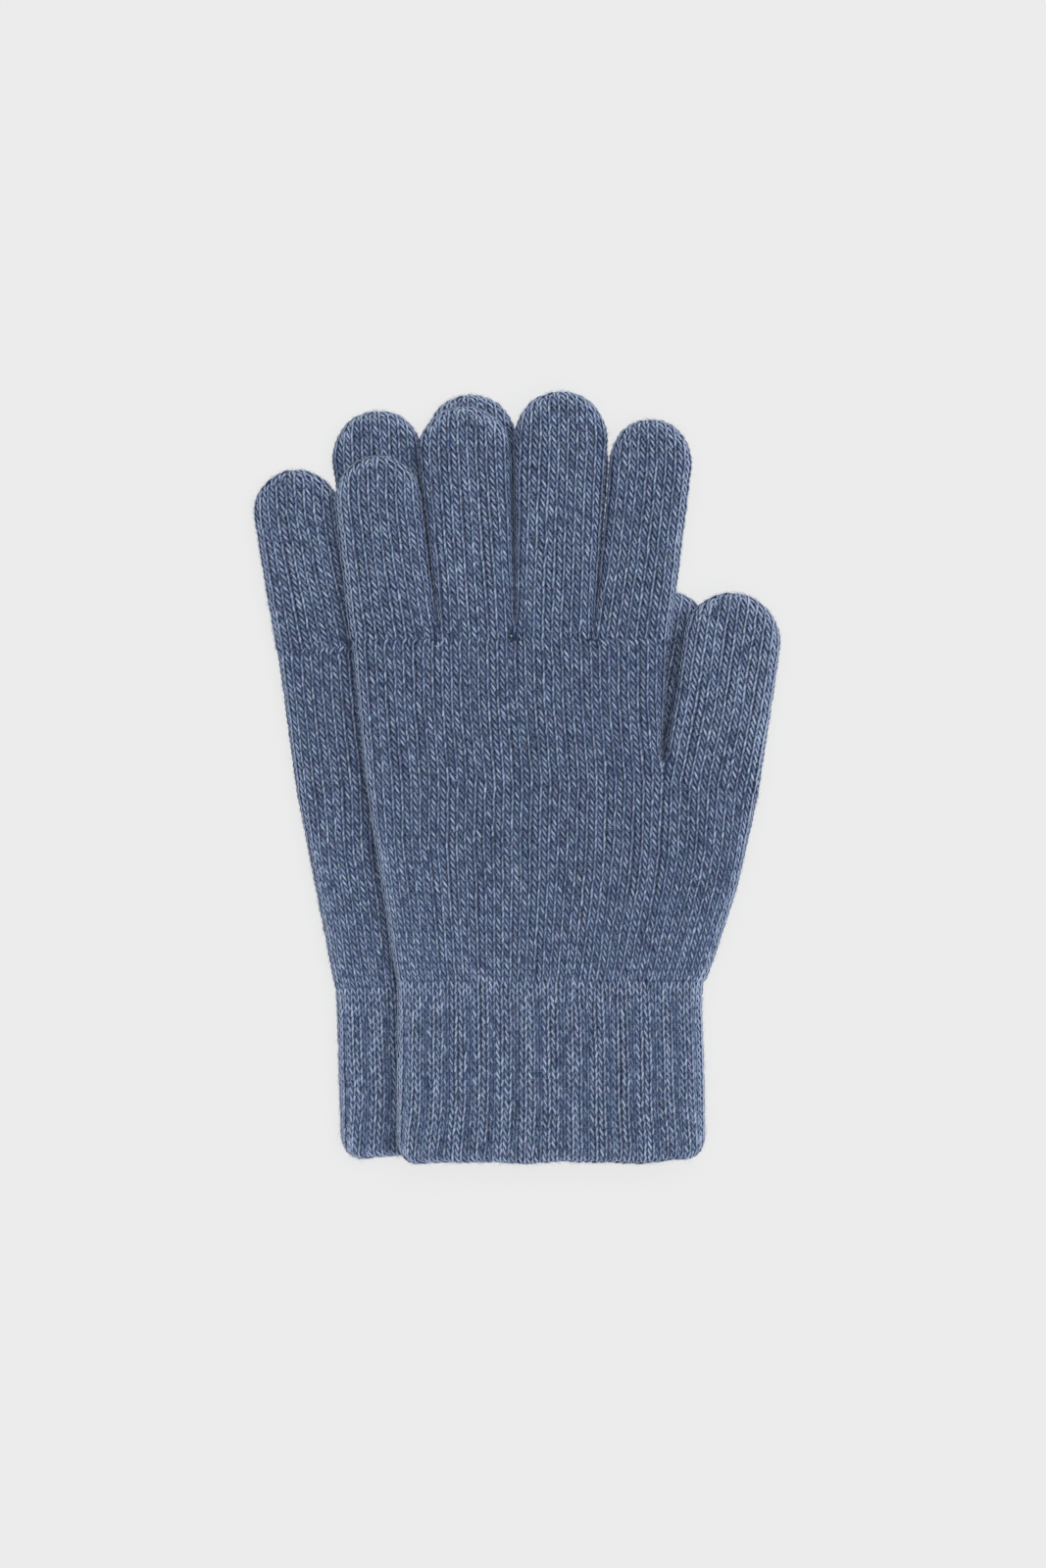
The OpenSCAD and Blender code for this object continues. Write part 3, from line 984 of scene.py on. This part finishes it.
def cuff_shell(glove):
    """The cuff's tube, down to its mouth, round the turned edge and back up inside. v runs down from 0 at the
    hand."""
    cuff, hem = glove.outline("cuff"), glove.outline("cuff_hem")
    x0, x1 = cuff[:, 0].min(), cuff[:, 0].max()
    straight = -hem[:, 1].min() - LIP
    bend = math.pi * LIP
    length = straight + bend + TURN_BACK

    def section(v):
        if v <= straight:
            y, inset = -v, 0.0
        elif v <= straight + bend:
            a = (v - straight) / LIP
            y, inset = -straight - LIP * math.sin(a), LIP * (1 - math.cos(a))
        else:
            y, inset = -straight + (v - straight - bend), 2 * LIP
        left, right = x0 + inset + 0.3 * waist(v), x1 - inset - waist(v)
        share = smooth((-y - (straight - MOUTH_ZONE)) / MOUTH_ZONE)

        def y_of(x):
            near_left = np.clip(1 - (x - x0) / CORNER, 0, 1)
            near_right = np.clip(1 - (x1 - x) / CORNER, 0, 1)
            lift = CORNER * 0.8 * (near_left ** 2.2 + near_right ** 2.2)
            lift += 0.9 * smooth((x / x1 - 0.45) / 0.5) + 0.22 * np.sin(x / 5.3) + 0.18 * np.sin(x / 2.9 + 1)
            return y + share * lift

        def height(x, yy):
            d = np.minimum(x - left, right - x)
            return rounded(np.maximum(d, 0), glove.half - inset)

        return cross_curve(left, right, height, y_of=y_of)

    levels = np.concatenate([np.arange(-4.0, straight, 1.0), np.linspace(straight, length, 24)])
    shell = Shell(levels, section)
    # the levels run away from the fingers, so the normals are turned to point outwards
    shell.normals = -shell.normals
    return shell, straight, bend, length


def knit_cuff(glove):
    """The ribbed cuff, its turned edge and its elastic."""
    prefix = glove.prefix
    shell, straight, bend, length = cuff_shell(glove)
    hem_top = -glove.outline("cuff_hem")[:, 1].max()
    rows = int(round(hem_top / (COURSE * 1.1)))
    pitch = hem_top / rows
    needles = Wales(shell, HEEL_WALES, most=FULL)

    def row(yarn, v, rib):
        knit_row(yarn, needles, v, -pitch, rib=float(rib), steps=CUFF_STEPS, lean=CUFF_LEAN)

    bands = []
    cut = int((FOLD_ZONE + 6.0) / pitch)
    for part, first, last in (("cuff_top", 0, cut), ("cuff", cut, rows)):
        yarn = Yarn()
        for k in range(first, last):
            v = (k + 0.5) * pitch
            row(yarn, v, smooth((v + 1.0) / 13.0))
        fuzz(yarn, shell, first * pitch, last * pitch)
        bands.append(yarn.build(f"{prefix}_{part}_knit", glove, CUFF_YARN))
    cuff_top, cuff = bands
    base = ground(f"{prefix}_cuff_ground", glove, shell, -1.5, straight - 0.5, depths=CUFF_DEPTHS)
    yarn = Yarn()
    v = hem_top + 0.5 * pitch
    while v < length - 0.5 * pitch:
        row(yarn, v, 0.35 + 0.65 * smooth((straight - v) / 5.0))
        v += pitch
    fuzz(yarn, shell, hem_top, straight + bend * 0.6, density=2 * HAIRS_PER_CM2)
    hem = yarn.build(f"{prefix}_cuff_hem_knit", glove, CUFF_YARN)

    # the elastic threads lie where the CAD rings lie
    yarn = Yarn()
    p = np.linspace(0, 2, 240, endpoint=False)
    radius = np.full(len(p), ELASTIC_R)
    for y in elastic_places(glove):
        point, normal = shell.sample(np.full(len(p), -y), p)
        yarn.ring(point - normal * ELASTIC_DEPTH, normal, radius, rng.uniform(0, 900), sides=6)
    elastic = yarn.build(f"{prefix}_cuff_elastic_thread", glove, ELASTIC)

    hinge = joint(f"{prefix}_cuff_fold")
    at = Vector(hinge["pos_m"])
    for piece in (cuff_top, base, elastic):
        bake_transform(piece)
    for piece in (cuff, hem):
        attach(piece, f"{prefix}_cuff")
    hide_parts(f"{prefix}_cuff")
    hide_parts(f"{prefix}_cuff_hem")
    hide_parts(f"{prefix}_cuff_elastic")


def elastic_places(glove):
    """The y of each CAD elastic ring."""
    y = np.sort(glove.corners("cuff_elastic")[:, 1])
    groups = np.split(y, np.flatnonzero(np.diff(y) > 2.0) + 1)
    return [float(g.mean()) for g in groups]


# ------------ the pair
for prefix in ("lower", "upper"):
    glove = Glove(prefix)
    hand = knit_hand(glove)
    knit_thumb(glove, hand)
    for part, wales in FINGERS.items():
        webs = (float(part != "little_finger"), float(part != "index_finger"))
        knit_closed_tube(part, glove, glove.outline(part), wales, webs, (hand.palm_needles, hand.top - 0.5))
    knit_cuff(glove)

# ------------ stage, light and camera
FLOOR_HALF = 3.0
FLOOR_DROP = 0.0002   # how far the floor lies below the CAD model
FRAME_H = 0.480       # height of the picture at the gloves
CAMERA_UP = 1.5
SENSOR = 36.0


def lay_floor(z):
    """Pale paper, which gives off most of its own light, so that the gloves' shadows stay faint."""
    mesh = bpy.data.meshes.new("floor")
    corners = [(x * FLOOR_HALF, y * FLOOR_HALF, 0) for x, y in ((-1, -1), (1, -1), (1, 1), (-1, 1))]
    mesh.from_pydata(corners, [], [(0, 1, 2, 3)])
    floor = add("floor", mesh)
    floor.location.z = z
    paper, tree, shader = new_material("floor_paper")
    fill(tree, shader, {"Base Color": (0.1, 0.1, 0.1, 1), "Roughness": 0.9, "Specular IOR Level": 0.1,
                        "Emission Color": (1.0, 1.0, 1.0, 1), "Emission Strength": 0.735})
    mesh.materials.append(paper)


def light_room():
    """A white room, paler near the horizon, like the paper, and a very large soft lamp overhead."""
    world = bpy.data.worlds.new("studio")
    world.use_nodes = True
    tree = world.node_tree
    background = tree.nodes["Background"]
    background.inputs[0].default_value = (1.0, 1.0, 1.0, 1)
    facing = node(tree, "TexCoord").outputs["Generated"]
    up = node(tree, "SeparateXYZ", {0: facing}).outputs[2]
    pale = node(tree, "MapRange",
                {"Value": up, "From Min": 0.04, "From Max": 0.12, "To Min": 0.83, "To Max": 0.18})
    tree.links.new(pale.outputs[0], background.inputs[1])
    bpy.context.scene.world = world

    data = bpy.data.lights.new("softbox", "SUN")
    data.energy = 2.6
    data.angle = math.radians(66)
    lamp = add("softbox", data)
    lamp.rotation_euler = Vector((-0.2, -0.12, -1.0)).to_track_quat("-Z", "Y").to_euler()


def place_camera(top):
    """Straight above the gloves, looking down."""
    data = bpy.data.cameras.new("camera")
    data.sensor_fit = "VERTICAL"
    data.sensor_height = SENSOR
    data.lens = SENSOR * CAMERA_UP / FRAME_H
    camera = add("camera", data)
    camera.location = (0.00205, -0.00165, CAMERA_UP + top)
    bpy.context.scene.camera = camera
    bpy.context.scene.view_settings.view_transform = "Standard"


low, high = cad_bounds
lay_floor(low[2] - FLOOR_DROP)
light_room()
place_camera(high[2])
